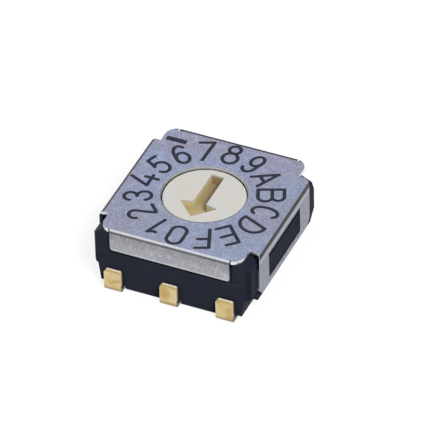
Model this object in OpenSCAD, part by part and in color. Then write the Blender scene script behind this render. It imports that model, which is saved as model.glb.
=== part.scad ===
// Rotary coded switch, surface-mount, sixteen positions.
// A folded steel cover snaps over a moulded housing. The rotor turns in the cover's
// round hole and on a pivot in the housing floor. A gold-plated code plate under its
// flange slides over five contact springs, and two leaf springs click into the flange.
// Units: millimetres. Origin: middle of the footprint, at board level. +Z is up, and
// the row of leads nearest to dial position 0 is at -Y.

/* [Cover] */
// Width across the two long side flaps, along X
cover_x = 7.27; // [7.1:0.01:7.6]
// Depth across the front and rear flaps, along Y
cover_y = 7.26; // [7.1:0.01:7.6]
// Height of the cover's top face above the board
total_h = 3.1; // [2.9:0.01:3.4]
// Thickness of the cover's sheet
sheet = 0.15; // [0.1:0.01:0.2]
// Inner radius of the bends above the side flaps
side_bend_r = 0.15; // [0.05:0.01:0.25]
// Inner radius of the bends above the front and rear flaps
end_bend_r = 0.02; // [0.01:0.01:0.15]
// Length of a side flap, along Y
side_flap_len = 5.24; // [4.8:0.01:5.4]
// Drop of a side flap below the cover's top face
side_flap_drop = 2.35; // [2.1:0.01:2.4]
// Chamfer on a side flap's lower corners
side_flap_chamfer = 0.27; // [0.1:0.01:0.4]
// Length of the latch window in a side flap
window_len = 3.32; // [2.6:0.01:3.6]
// Height of the latch window
window_h = 1.3; // [1:0.01:1.4]
// Strip of sheet left below the latch window
window_sill = 0.25; // [0.18:0.01:0.4]
// Length of the front and rear flaps, along X
end_flap_len = 5.42; // [5:0.01:5.6]
// Drop of the front and rear flaps below the cover's top face
end_flap_drop = 1.07; // [0.8:0.01:1.2]
// Radius of the lower corners of the front and rear flaps
end_flap_corner_r = 0.14; // [0.05:0.01:0.3]
// Width across the corner ears, along X
ear_x = 6.36; // [6.1:0.01:6.5]
// Depth across the corner ears, along Y
ear_y = 7.22; // [7:0.01:7.3]
// Radius of the corner ears
ear_r = 0.52; // [0.2:0.01:0.6]
// Width of the relief slot between an end flap and an ear
relief_w = 0.06; // [0.04:0.01:0.16]

/* [Housing] */
// Height of the housing's corners above the board
stand_off = 0.25; // [0.21:0.01:0.35]
// Gap between the housing's plinth and the board
plinth_gap = 0.05; // [0.02:0.01:0.15]
// How far the end flaps stand proud of the wall below them
flap_proud = 0.08; // [0.04:0.01:0.12]
// Gap between an end flap's edge and the ledge below it
ledge_gap = 0.18; // [0.08:0.01:0.3]
// How far the corner posts lie inside the cover's sides
post_inset = 0.085; // [0.05:0.005:0.15]
// Drop of the front posts' undersides below the ledge
post_drop = 0.75; // [0.5:0.01:1]
// Chamfer on the corner posts' top edges
post_chamfer = 0.4; // [0.15:0.01:0.5]
// How far the rear posts lean in at the top
rear_lean = 0.64; // [0:0.01:0.8]
// Height at which the rear posts begin to lean
rear_lean_z = 1.5; // [1.3:0.05:2.4]
// Chamfer under the rear posts
rear_post_chamfer = 0.7; // [0.1:0.01:0.7]
// How far the housing's foot lies inside the corner posts
foot_inset = 0.35; // [0.2:0.01:0.4]
// How far the ledge lies inside the corner posts
belt_inset = 0.14; // [0.05:0.01:0.2]
// Clearance between the housing and the cover's inner faces
cover_fit = 0.02; // [0.01:0.01:0.04]
// How far a catch stands out of its wall
catch_proud = 0.13; // [0.08:0.01:0.15]
// Height of the rail below a side flap
rail_h = 0.17; // [0.1:0.01:0.25]
// Height of the well's floor above the board
floor_z = 1.11; // [1.05:0.01:1.2]
// Space around the rotor's flange inside the well, for the click springs
well_gap = 0.4; // [0.35:0.01:0.45]

/* [Rotor] */
// Diameter of the cover's hole around the rotor
hole_d = 3.64; // [3.3:0.01:3.7]
// How far the rotor's face lies below the cover's top face
rotor_drop = 0.08; // [0:0.01:0.12]
// Running clearance around the rotor's neck, on the radius
neck_gap = 0.05; // [0.03:0.01:0.08]
// Radius of the rotor's flange
flange_r = 2.5; // [2.45:0.01:2.52]
// Diameter of the O-ring's section, which sets the height left for the flange
o_ring_d = 0.55; // [0.4:0.01:0.6]
// Radius of the pivot under the rotor
pivot_r = 0.45; // [0.35:0.01:0.5]
// Length of the pivot below the code plate
pivot_len = 0.85; // [0.6:0.01:1]
// Running clearance around the pivot, on the radius
pivot_gap = 0.03; // [0.02:0.01:0.06]
// Length of the arrow-shaped driver recess
arrow_len = 2.86; // [2.6:0.01:3]
// Width of the arrow's shaft
arrow_shaft_w = 0.58; // [0.4:0.01:0.7]
// Width across the arrow's barbs
arrow_head_w = 1.7; // [1.3:0.01:1.9]
// Length of the arrow's head from its barbs to its tip
arrow_head_len = 0.83; // [0.7:0.01:1.1]
// Depth of the arrow-shaped recess
arrow_depth = 0.52; // [0.4:0.01:0.6]

/* [Click] */
// Number of click positions in a turn
positions = 16; // [8, 10, 16]
// Depth of a click notch in the flange's rim
notch_depth = 0.13; // [0.08:0.01:0.16]
// Radius of a click notch
notch_r = 0.22; // [0.18:0.01:0.28]
// Thickness of a click spring
click_t = 0.08; // [0.06:0.01:0.1]
// Height of a click spring
click_h = 0.5; // [0.3:0.01:0.6]

/* [Terminals] */
// Distance between neighbouring leads in a row
pitch = 2.54; // [2.5, 2.54]
// Width of a lead
lead_w = 0.76; // [0.6:0.01:0.9]
// Thickness of the lead frame
lead_t = 0.2; // [0.15:0.01:0.2]
// Height of the leads' upper ends above the board
lead_top = 1.07; // [0.8:0.01:1.2]
// Gap between a lead and the wall behind it
lead_gap = 0.13; // [0.05:0.01:0.2]
// Length of a lead's foot under the housing
foot_len = 0.75; // [0.5:0.01:0.9]
// Radius of a lead's upper corners, seen from the front
lead_corner_r = 0.12; // [0.05:0.01:0.2]
// Width of a terminal's strip inside the housing
strip_w = 0.5; // [0.3:0.01:0.6]

/* [Code] */
// Thickness of the code plate
plate_t = 0.1; // [0.08:0.01:0.12]
// Height of the code plate's underside above the well's floor
contact_h = 0.39; // [0.34:0.01:0.42]
// Radius of the common track's middle
common_track_r = 0.86; // [0.82:0.01:0.9]
// Distance between the middles of neighbouring tracks
track_pitch = 0.26; // [0.24:0.01:0.27]
// Width of the bar left between two tracks
track_bar = 0.06; // [0.04:0.01:0.08]
// Thickness of a contact spring
contact_t = 0.08; // [0.06:0.01:0.1]
// Width of a contact spring at its root
contact_root_w = 0.3; // [0.2:0.01:0.35]
// Width of a contact spring at its tip
contact_tip_w = 0.12; // [0.08:0.01:0.2]
// Length of the flat root of a contact spring
contact_pad = 0.35; // [0.2:0.01:0.4]
// Distance of the coded contact points from the YZ plane
contact_x = 1; // [0.9:0.01:1.05]

/* [Hidden] */
$fn = 64;
eps = 0.01;

// Cover, and what lies against it
half_x = cover_x / 2;
half_y = cover_y / 2;
roof_z = total_h - sheet;
side_flap_z = total_h - side_flap_drop;
window_z = side_flap_z + window_sill;
end_flap_z = total_h - end_flap_drop;
side_bend_out = side_bend_r + sheet;
end_bend_out = end_bend_r + sheet;
wall_x = half_x - sheet - cover_fit;
wall_y = half_y - sheet - cover_fit;

// Housing
CORNERS = [[1, 1], [-1, 1], [-1, -1], [1, -1]];
body_y = half_y - flap_proud;
post_x = half_x - post_inset;
post_y = body_y - flap_proud / 2;
post_corner = [0.14, 0.2];
post_play = 0.05;
ledge_z = end_flap_z - ledge_gap;
post_z = ledge_z - post_drop;
foot_x = post_x - foot_inset;
belt_x = post_x - belt_inset;
rail_top = side_flap_z - cover_fit;
rail_z = rail_top - rail_h;
side_recess_y = side_flap_len / 2 + post_play;
end_recess_x = end_flap_len / 2 + post_play;
pocket_play = 0.06;
catch_play = 2 * cover_fit;
catch_ramp = 0.2;
well_r = flange_r + well_gap;

// Rotor and code plate
plate_z = floor_z + contact_h;
flange_z = plate_z + plate_t;
o_ring_gap = 0.04;
flange_top = roof_z - o_ring_gap - o_ring_d;
flange_t = flange_top - flange_z;
rotor_top = total_h - rotor_drop;
neck_r = hole_d / 2 - neck_gap;
neck_chamfer = 0.05;
arrow_barb_slope = 0.22;
pivot_tip_z = plate_z - pivot_len;
bearing_r = pivot_r + pivot_gap;
bearing_end_gap = 0.05;
bearing_z = pivot_tip_z - bearing_end_gap;
step_angle = 360 / positions;
window_margin = 0.3;

// Bits of the code: [track, side along X, side along Y], from the innermost track out
BIT_8 = [0, 1, 1];
BIT_4 = [1, -1, 1];
BIT_2 = [2, 1, -1];
BIT_1 = [3, -1, -1];
BITS = [BIT_8, BIT_4, BIT_2, BIT_1];

// Click springs: a straight leaf each, with a round nose that rests in a notch
nose_play = 0.04;
nose_lift = 0.01;
nose_r = notch_r - nose_play;
nose_x = flange_r - notch_depth + nose_lift + nose_r;
leaf_x = nose_x + nose_r - click_t;
leaf_seat = 0.25;
leaf_len = 2 * (sqrt(pow(well_r, 2) - pow(leaf_x, 2)) + leaf_seat);
leaf_z = flange_z + (flange_t - click_h) / 2;
leaf_play = 0.01;

// Lead frame and contact springs
frame_z = floor_z - lead_t;
leg_y = body_y - foot_len;
face_y = body_y + lead_gap;
ring_r = bearing_r + lead_t / 2;
ring_w = lead_t;
root_gap = 0.12;
contact_play = 0.01;
contact_tail = 0.17;
outer_contact_y = contact_y(len(BITS) - 1);
root_x = sqrt(pow(well_r - root_gap, 2) - pow(outer_contact_y + contact_root_w / 2, 2));
contact_reach = root_x - contact_x;
plate_r = track_r(len(BITS) - 1) + track_pitch / 2;

// Radius of a coded track's middle, counted from the innermost coded track
function track_r(track) = common_track_r + (track + 1) * track_pitch;

// Distance of a bit's contact point from the XZ plane
function contact_y(track) = sqrt(pow(track_r(track), 2) - pow(contact_x, 2));

// Direction from the axis to a bit's contact point
function contact_angle(bit) = atan2(bit[2] * contact_y(bit[0]), bit[1] * contact_x);

// A copy on each side of the YZ plane
module both_x() {
    children();
    mirror([1, 0, 0]) children();
}

// A copy on each side of the XZ plane
module both_y() {
    children();
    mirror([0, 1, 0]) children();
}

// A block with its middle on the Z axis, from height z0 to z1
module block(x, y, z0, z1) {
    translate([-x / 2, -y / 2, z0]) cube([x, y, z1 - z0]);
}

// A front-view outline (X, Z) drawn through the part along Y, with its middle at y = 0
module through_y(length) {
    translate([0, length / 2, 0]) rotate([90, 0, 0]) linear_extrude(length) children();
}

// A side-view outline (Y, Z) drawn through the part along X, with its middle at x = 0
module through_x(length) {
    rotate([0, 0, 90]) through_y(length) children();
}

// A rectangle with round corners, with its middle at the origin
module round_square(size, r) {
    square([size.x - 2 * r, size.y], center = true);
    square([size.x, size.y - 2 * r], center = true);
    for (x = [-1, 1], y = [-1, 1])
        translate([x * (size.x / 2 - r), y * (size.y / 2 - r)]) circle(r);
}

// Quarter of a disc in the corner between +X and +Y
module quarter_disc(r) {
    intersection() {
        circle(r);
        square(r);
    }
}

// ---- Cover ----

// Cross-section of a channel: a flat web with two legs, its bends of inner radius inner_r
module channel(width, drop, inner_r) {
    outer_r = inner_r + sheet;
    inner = width - 2 * sheet;
    difference() {
        union() {
            translate([-width / 2, total_h - drop]) square([width, drop - outer_r]);
            translate([-width / 2 + outer_r, total_h - outer_r - eps])
                square([width - 2 * outer_r, outer_r + eps]);
            for (x = [-1, 1]) translate([x * (width / 2 - outer_r), total_h - outer_r]) circle(outer_r);
        }
        translate([-inner / 2, total_h - drop - eps]) square([inner, drop - outer_r + eps]);
        translate([-inner / 2 + inner_r, 0]) square([inner - 2 * inner_r, roof_z]);
        for (x = [-1, 1]) translate([x * (inner / 2 - inner_r), total_h - outer_r]) circle(inner_r);
    }
}

// Side flaps: the channel across X, cut to the flap's outline with its chamfered corners
module side_flaps() {
    a = side_flap_len / 2;
    c = side_flap_chamfer;
    difference() {
        intersection() {
            through_y(side_flap_len) channel(cover_x, side_flap_drop, side_bend_r);
            through_x(cover_x)
                polygon([
                    [-a, total_h], [-a, side_flap_z + c], [-a + c, side_flap_z],
                    [a - c, side_flap_z], [a, side_flap_z + c], [a, total_h]
                ]);
        }
        block(cover_x + 1, window_len, window_z, window_z + window_h);
    }
}

// Front and rear flaps: the channel across Y, with rounded lower corners
module end_flaps() {
    intersection() {
        through_x(end_flap_len) channel(cover_y, end_flap_drop, end_bend_r);
        through_y(cover_y)
            translate([0, total_h]) round_square([end_flap_len, 2 * end_flap_drop], end_flap_corner_r);
    }
}

// Flat roof with an ear at each corner
module roof() {
    flat_x = cover_x - 2 * side_bend_out;
    translate([0, 0, roof_z]) linear_extrude(sheet) {
        difference() {
            round_square([ear_x, ear_y], ear_r);
            for (x = [-1, 1], y = [-1, 1]) translate([x * (end_flap_len + relief_w) / 2, y * half_y]) {
                square([relief_w, 2 * end_bend_out], center = true);
                translate([0, -y * end_bend_out]) circle(relief_w / 2);
            }
        }
        square([flat_x, side_flap_len], center = true);
    }
}

module cover() {
    color([0.69, 0.7, 0.76]) difference() {
        union() {
            roof();
            side_flaps();
            end_flaps();
        }
        translate([0, 0, roof_z - eps]) cylinder(r = hole_d / 2, h = sheet + 2 * eps);
    }
}

// ---- Housing ----

// Lower body: widens upwards from its foot to the ledge, with a plinth below the middle
module lower_body() {
    through_y(2 * body_y)
        polygon([[-foot_x, stand_off], [foot_x, stand_off], [belt_x, ledge_z], [-belt_x, ledge_z]]);
    block(2 * pitch, 2 * body_y, plinth_gap, stand_off + eps);
}

// Upper body: a block with chamfered corners, cut back where the cover's flaps lie.
// Its underside steps down behind the front posts to the rails and the rear posts.
module upper_body() {
    top = roof_z - eps;
    c = post_chamfer;
    difference() {
        intersection() {
            translate([0, 0, rail_z]) linear_extrude(top - rail_z)
                polygon([for (side = CORNERS) each post_corner_points(side.x, side.y)]);
            through_y(2 * body_y)
                polygon([
                    [-post_x, rail_z], [post_x, rail_z], [post_x, top - c],
                    [post_x - c, top], [-post_x + c, top], [-post_x, top - c]
                ]);
            through_x(2 * post_x)
                polygon([
                    [-body_y, post_z], [-side_recess_y, post_z], [-side_recess_y, rail_z],
                    [body_y - rear_post_chamfer, rail_z], [body_y, rail_z + rear_post_chamfer],
                    [body_y, top], [-body_y, top]
                ]);
        }
        both_x() translate([wall_x, -side_recess_y, rail_top])
            cube([half_x, 2 * side_recess_y, total_h]);
        both_y() translate([-end_recess_x, wall_y, ledge_z])
            cube([2 * end_recess_x, half_y, total_h]);
        both_x() rear_lean_cut();
    }
}

// Cut that makes a rear post lean in towards its top
module rear_lean_cut() {
    width = half_x - end_recess_x;
    translate([end_recess_x + width / 2, 0, 0]) through_x(width)
        polygon([
            [body_y - rear_lean, roof_z], [body_y, rear_lean_z],
            [cover_y, rear_lean_z], [cover_y, roof_z]
        ]);
}

// The two chamfer points of one corner of the upper body, in order round the outline
function post_corner_points(x, y) =
    let (on_end = [x * (post_x - post_corner.x), y * post_y])
    let (on_side = [x * post_x, y * (post_y - post_corner.y)])
    (x * y > 0) ? [on_side, on_end] : [on_end, on_side];

// Catch: a block in the latch window, sloped above so that the flap rides over it
module catch_block() {
    length = window_len - 2 * catch_play;
    z0 = window_z + cover_fit;
    z1 = window_z + window_h - cover_fit;
    ramp = (z1 - z0) * catch_ramp;
    out = wall_x + catch_proud;
    through_y(length)
        polygon([[wall_x - sheet, z0], [out, z0], [out, z1 - ramp], [wall_x, z1], [wall_x - sheet, z1]]);
}

// Slots in the well's wall that hold one click spring by its ends
module leaf_slot() {
    translate([leaf_x - leaf_play, -leaf_len / 2 - leaf_play, leaf_z - leaf_play])
        cube([click_t + 2 * leaf_play, leaf_len + 2 * leaf_play, roof_z]);
}

// Pocket under the body for one lead's foot, and the slot that its leg is moulded into
module foot_pocket() {
    translate([-lead_w / 2 - pocket_play, leg_y - pocket_play, -eps])
        cube([lead_w + 2 * pocket_play, body_y, stand_off + eps]);
    translate([-lead_w / 2, leg_y, 0]) cube([lead_w, lead_t, floor_z]);
}

module housing() {
    color([0.14, 0.15, 0.19]) difference() {
        union() {
            lower_body();
            upper_body();
            both_x() catch_block();
        }
        translate([0, 0, floor_z]) cylinder(r = well_r, h = total_h);
        translate([0, 0, bearing_z]) cylinder(r = bearing_r, h = total_h);
        both_x() leaf_slot();
        both_y() for (x = [-1, 0, 1]) translate([x * pitch, 0, 0]) foot_pocket();
        lead_frame_layer() {
            common_plan();
            for (bit = BITS) terminal_plan(bit);
        }
    }
}

// ---- Lead frame ----

// The level of the housing's floor in which the lead frame is moulded
module lead_frame_layer() {
    translate([0, 0, frame_z]) linear_extrude(lead_t) children();
}

// Outline of one coded terminal inside the housing: a strip from its leg and an arm to its contact
module terminal_plan(bit) {
    y0 = contact_y(bit[0]) - strip_w / 2;
    mirror([bit[1] < 0 ? 1 : 0, 0]) mirror([0, bit[2] < 0 ? 1 : 0]) {
        translate([pitch - lead_w / 2, y0]) square([lead_w, leg_y + lead_t - y0]);
        translate([root_x - contact_pad, y0]) square([pitch - root_x + contact_pad, strip_w]);
    }
}

// Outline of the common terminal inside the housing: a strip through, with a ring round the bearing
module common_plan() {
    difference() {
        union() {
            square([strip_w, 2 * leg_y], center = true);
            for (y = [-1, 1]) translate([0, y * leg_y]) square([lead_w, 2 * lead_t], center = true);
            circle(ring_r + ring_w);
        }
        circle(ring_r);
    }
}

// The visible face of one lead: its upper end is free, with round corners
module lead_face() {
    intersection() {
        round_square([lead_w, 2 * lead_top], lead_corner_r);
        translate([-lead_w / 2, lead_t]) square([lead_w, lead_top]);
    }
}

// One lead, at +Y: a leg down through the floor, a foot out under the body, and up past the wall
module lead_hook() {
    through_x(lead_w) {
        translate([leg_y, lead_t]) square([lead_t, frame_z]);
        translate([leg_y + lead_t, lead_t]) rotate(180) quarter_disc(lead_t);
        translate([leg_y + lead_t, 0]) square([face_y - leg_y - lead_t, lead_t]);
        translate([face_y, lead_t]) mirror([0, 1]) quarter_disc(lead_t);
        translate([face_y, lead_t]) square([lead_t, lead_top / 2]);
    }
    translate([0, face_y + lead_t, 0]) rotate([90, 0, 0]) linear_extrude(lead_t) lead_face();
}

// One coded terminal: a lead and its strip, moulded into the floor
module terminal(bit) {
    color([0.85, 0.72, 0.45]) {
        lead_frame_layer() terminal_plan(bit);
        mirror([0, bit[2] < 0 ? 1 : 0, 0]) translate([bit[1] * pitch, 0, 0]) lead_hook();
    }
}

module terminal_common() {
    color([0.85, 0.72, 0.45]) {
        lead_frame_layer() common_plan();
        both_y() lead_hook();
    }
}

// ---- Contact springs ----

// A bent strip along a path of points, with round joints
module bent_strip(path, t) {
    for (i = [0 : len(path) - 2]) {
        step = path[i + 1] - path[i];
        translate(path[i]) rotate(atan2(step.y, step.x)) translate([0, -t / 2]) square([norm(step), t]);
    }
    for (i = [1 : len(path) - 2]) translate(path[i]) circle(t / 2);
}

// One contact spring along X: a flat root, a sloping arm, and a tip at tip_x under the code plate
module contact_spring(tip_x) {
    root = tip_x + contact_reach;
    low = floor_z + contact_t / 2;
    high = plate_z - contact_play - contact_t / 2;
    path = [[root, low], [root - contact_pad, low], [tip_x, high], [tip_x - contact_tail, high - contact_tail / 2]];
    color([0.88, 0.76, 0.5]) intersection() {
        through_y(contact_root_w) bent_strip(path, contact_t);
        translate([0, 0, floor_z]) linear_extrude(contact_h)
            polygon([
                [root, -contact_root_w / 2], [root - contact_pad, -contact_root_w / 2],
                [tip_x - contact_tail, -contact_tip_w / 2], [tip_x - contact_tail, contact_tip_w / 2],
                [root - contact_pad, contact_root_w / 2], [root, contact_root_w / 2]
            ]);
    }
}

// A coded contact spring, over its own terminal's arm
module coded_contact(bit) {
    translate([0, bit[2] * contact_y(bit[0]), 0]) mirror([bit[1] < 0 ? 1 : 0, 0, 0])
        contact_spring(contact_x);
}

module contact_common() {
    rotate([0, 0, -90]) contact_spring(common_track_r);
}

// ---- Rotor ----

// Outline of the arrow-shaped recess, pointing to -Y
module arrow_outline() {
    tip = -arrow_len / 2;
    barb = tip + arrow_head_len;
    neck = barb + (arrow_head_w - arrow_shaft_w) / 2 * arrow_barb_slope;
    shaft = arrow_shaft_w / 2;
    polygon([
        [0, tip], [arrow_head_w / 2, barb], [shaft, neck], [shaft, arrow_len / 2],
        [-shaft, arrow_len / 2], [-shaft, neck], [-arrow_head_w / 2, barb]
    ]);
}

// Side profile of the rotor, turned about the axis
module rotor_profile() {
    polygon([
        [0, pivot_tip_z], [pivot_r, pivot_tip_z], [pivot_r, flange_z], [flange_r, flange_z],
        [flange_r, flange_top], [neck_r, flange_top], [neck_r, rotor_top - neck_chamfer],
        [neck_r - neck_chamfer, rotor_top], [0, rotor_top]
    ]);
}

module rotor() {
    color([0.92, 0.91, 0.84]) difference() {
        rotate_extrude() rotor_profile();
        translate([0, 0, rotor_top - arrow_depth]) linear_extrude(arrow_depth + eps) arrow_outline();
        for (i = [0 : positions - 1]) rotate([0, 0, i * step_angle])
            translate([flange_r - notch_depth + notch_r, 0, flange_z - eps])
                cylinder(r = notch_r, h = flange_t + 2 * eps);
    }
}

// A sector of a ring, from angle a0 to a1, no wider than half a turn
module ring_sector(r, w, a0, a1) {
    far = 4 * r;
    intersection() {
        difference() {
            circle(r + w / 2);
            circle(r - w / 2);
        }
        polygon([
            [0, 0], far * [cos(a0), sin(a0)],
            far * [cos((a0 + a1) / 2), sin((a0 + a1) / 2)], far * [cos(a1), sin(a1)]
        ]);
    }
}

// Windows in one coded track: one wherever the bit is off. Turning the rotor clockwise counts up.
module track_windows(bit) {
    r = track_r(bit[0]);
    run = pow(2, 3 - bit[0]);
    margin = window_margin * step_angle;
    for (i = [0 : positions / run / 2 - 1]) {
        start = contact_angle(bit) + 2 * i * run * step_angle;
        ring_sector(r, track_pitch - track_bar, start - margin, start + (run - 1) * step_angle + margin);
    }
}

module code_plate() {
    color([0.9, 0.78, 0.5]) translate([0, 0, plate_z]) linear_extrude(plate_t) difference() {
        circle(plate_r);
        circle(pivot_r);
        for (bit = BITS) track_windows(bit);
    }
}

// ---- Seal and click springs ----

module o_ring() {
    color([0.75, 0.72, 0.68])
        rotate_extrude() translate([neck_r + o_ring_gap + o_ring_d / 2, roof_z - o_ring_d / 2])
            circle(o_ring_d / 2, $fn = 24);
}

// One click spring at +X: a leaf in its slots, with a round nose in the flange's notch
module click_spring() {
    color([0.8, 0.8, 0.82]) translate([0, 0, leaf_z]) linear_extrude(click_h) {
        for (y = [-1, 1]) {
            translate([leaf_x, y > 0 ? nose_r - click_t / 2 : -leaf_len / 2])
                square([click_t, leaf_len / 2 - nose_r + click_t / 2]);
        }
        translate([leaf_x + click_t, 0]) intersection() {
            difference() {
                circle(nose_r);
                circle(nose_r - click_t);
            }
            translate([-2 * nose_r, -nose_r]) square([2 * nose_r, 2 * nose_r]);
        }
    }
}

module click_spring_right() {
    click_spring();
}

module click_spring_left() {
    mirror([1, 0, 0]) click_spring();
}

housing();
cover();
rotor();
code_plate();
o_ring();
click_spring_left();
click_spring_right();
terminal_common();
terminal(BIT_1);  // terminal_1
terminal(BIT_2);  // terminal_2
terminal(BIT_4);  // terminal_4
terminal(BIT_8);  // terminal_8
contact_common();
coded_contact(BIT_1);  // contact_1
coded_contact(BIT_2);  // contact_2
coded_contact(BIT_4);  // contact_4
coded_contact(BIT_8);  // contact_8
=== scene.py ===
"""Finishes, dial characters and studio for a surface-mount rotary coded switch."""
import math
from types import SimpleNamespace

import bpy
from mathutils import Matrix, Vector


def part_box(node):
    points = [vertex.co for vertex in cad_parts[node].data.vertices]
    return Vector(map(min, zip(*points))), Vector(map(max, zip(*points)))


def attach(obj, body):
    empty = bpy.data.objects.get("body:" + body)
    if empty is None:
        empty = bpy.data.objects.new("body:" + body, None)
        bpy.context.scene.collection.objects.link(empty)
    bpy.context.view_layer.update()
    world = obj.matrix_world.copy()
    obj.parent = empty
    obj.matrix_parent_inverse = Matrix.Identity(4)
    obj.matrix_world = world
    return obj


bl_info = {
    "name": "Rotary coded switch",
    "version": (1, 0, 0),
    "blender": (4, 5, 0),
    "location": "View3D > Sidebar > Switch",
    "description": "Dresses a surface-mount rotary coded switch and sets up its studio",
    "category": "Add Mesh",
}

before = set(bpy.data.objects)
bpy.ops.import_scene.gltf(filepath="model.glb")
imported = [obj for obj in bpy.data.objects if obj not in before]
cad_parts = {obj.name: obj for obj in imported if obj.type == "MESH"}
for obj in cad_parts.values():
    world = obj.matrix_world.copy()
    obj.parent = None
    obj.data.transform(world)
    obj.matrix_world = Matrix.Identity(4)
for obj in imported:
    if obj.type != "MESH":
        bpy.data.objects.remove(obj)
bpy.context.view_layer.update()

MM = 0.001
BODY = "base"

# Lines of the solids that the finishes follow.
COVER_LOW, COVER_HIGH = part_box("cover")
ROOF_Z = COVER_HIGH[2]
HOLE_RADIUS = 1.82 * MM
END_FLAP_HALF = 2.71 * MM
END_FLAP_LOW = ROOF_Z - 1.07 * MM
WINDOW_HALF = 1.66 * MM
ROTOR_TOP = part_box("rotor")[1][2]
RECESS_SHADE = 0.45 * MM
SHAFT_END = 1.38 * MM
LEAD_FRONT = -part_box("terminal_common")[0][1]
LEAD_TOP = 1.07 * MM

# Shape of the marks.
SHARP_TURN = math.radians(35)
HALF_ROUND = [math.radians(angle) for angle in (30, 55, 75, 90)]
TIP_WIDTH = 0.001
BAR_ROUNDING = 0.35

# The studio, in metres.
WHITE = (1.0, 1.0, 1.0, 1.0)
FLOOR_SIZE = 0.6
KEY_PLACE, KEY_SIZE = (0.09, -0.085, 0.15), 0.05
FILL_PLACE, FILL_SIZE = (-0.12, 0.05, 0.10), 0.12


# ---- Sizes and colours that a user would change ----

class SwitchDialSizes(bpy.types.PropertyGroup):
    """Sizes of the marks on the roof."""
    radius: bpy.props.FloatProperty(
        name="Dial radius", description="From the axis to the middle of a character",
        default=2.8 * MM, unit="LENGTH")
    height: bpy.props.FloatProperty(
        name="Character height",
        description="Height between the middles of the top and bottom strokes",
        default=1.04 * MM, unit="LENGTH")
    width: bpy.props.FloatProperty(
        name="Character width", description="Width between the middles of the side strokes",
        default=0.56 * MM, unit="LENGTH")
    stroke: bpy.props.FloatProperty(
        name="Stroke width", description="Width of a line of a character",
        default=0.157 * MM, unit="LENGTH")
    film: bpy.props.FloatProperty(
        name="Film thickness", description="How far the marks stand out of the roof",
        default=0.004 * MM, unit="LENGTH")
    bar_length: bpy.props.FloatProperty(
        name="Index bar length", description="Length of the bar in the rear left corner",
        default=0.92 * MM, unit="LENGTH")
    bar_width: bpy.props.FloatProperty(
        name="Index bar width", description="Width of the bar in the rear left corner",
        default=0.26 * MM, unit="LENGTH")
    bar_across: bpy.props.FloatProperty(
        name="Index bar across", description="Middle of the bar, across from the rotor's axis",
        default=-2.55 * MM, unit="LENGTH")
    bar_along: bpy.props.FloatProperty(
        name="Index bar along", description="Middle of the bar, to the rear of the rotor's axis",
        default=2.87 * MM, unit="LENGTH")


class SwitchColours(bpy.types.PropertyGroup):
    """Colours of the finishes."""
    roof: bpy.props.FloatVectorProperty(
        name="Roof", description="Steel of the roof",
        subtype="COLOR", default=(0.326, 0.351, 0.455))
    flaps: bpy.props.FloatVectorProperty(
        name="Flaps", description="Steel of the flaps",
        subtype="COLOR", default=(0.345, 0.35, 0.38))
    # Painted highlight on the cut edges and bends, partly the bare steel of the cut faces.
    cut_edge_highlight: bpy.props.FloatVectorProperty(
        name="Cut edges", description="Bare steel of cut edges and bends",
        subtype="COLOR", default=(0.82, 0.82, 0.84))
    shaded_edge: bpy.props.FloatVectorProperty(
        name="Shaded edges", description="Dark steel of the bends that turn away from the light",
        subtype="COLOR", default=(0.012, 0.012, 0.022))
    # Painted shade of the gap between the rotor and the cover's hole.
    hole_gap_shade: bpy.props.FloatVectorProperty(
        name="Hole line", description="Dark line round the cover's hole",
        subtype="COLOR", default=(0.09, 0.1, 0.12))
    housing: bpy.props.FloatVectorProperty(
        name="Housing", description="Resin of the housing",
        subtype="COLOR", default=(0.0245, 0.0285, 0.0435))
    rotor: bpy.props.FloatVectorProperty(
        name="Rotor", description="Resin of the rotor",
        subtype="COLOR", default=(0.64, 0.625, 0.59))
    # Painted shade of the driver recess: the rotor's resin, painted a deeper yellow-brown where it
    # lies below the face.
    recess: bpy.props.FloatVectorProperty(
        name="Recess", description="Resin in the depth of the driver recess",
        subtype="COLOR", default=(0.6, 0.49, 0.25))
    # Painted shadow on the floor of the driver recess.
    floor_shadow: bpy.props.FloatVectorProperty(
        name="Soil", description="Dirt on the floor of the driver recess",
        subtype="COLOR", default=(0.085, 0.05, 0.036))
    # Painted shade on the end wall of the driver recess's shaft.
    shaft_end_shade: bpy.props.FloatVectorProperty(
        name="Shaft end", description="End wall of the driver recess's shaft",
        subtype="COLOR", default=(0.24, 0.15, 0.085))
    gold: bpy.props.FloatVectorProperty(
        name="Gold", description="Plating of the leads and contacts",
        subtype="COLOR", default=(0.59, 0.44, 0.17))
    # Pale gold for the painted highlight on the leads' tops, sides and edges, partly the bare
    # sheared metal, and for random pale patches.
    pale_gold: bpy.props.FloatVectorProperty(
        name="Worn gold", description="Sheared and rubbed edges of the leads",
        subtype="COLOR", default=(1.0, 0.92, 0.66))
    ink: bpy.props.FloatVectorProperty(
        name="Marks", description="Dark marks on the roof",
        subtype="COLOR", default=(0.031, 0.034, 0.051))
    seal: bpy.props.FloatVectorProperty(
        name="Seal", description="Rubber of the seal",
        subtype="COLOR", default=(0.025, 0.024, 0.024))
    spring: bpy.props.FloatVectorProperty(
        name="Springs", description="Steel of the click springs",
        subtype="COLOR", default=(0.6, 0.6, 0.62))


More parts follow.
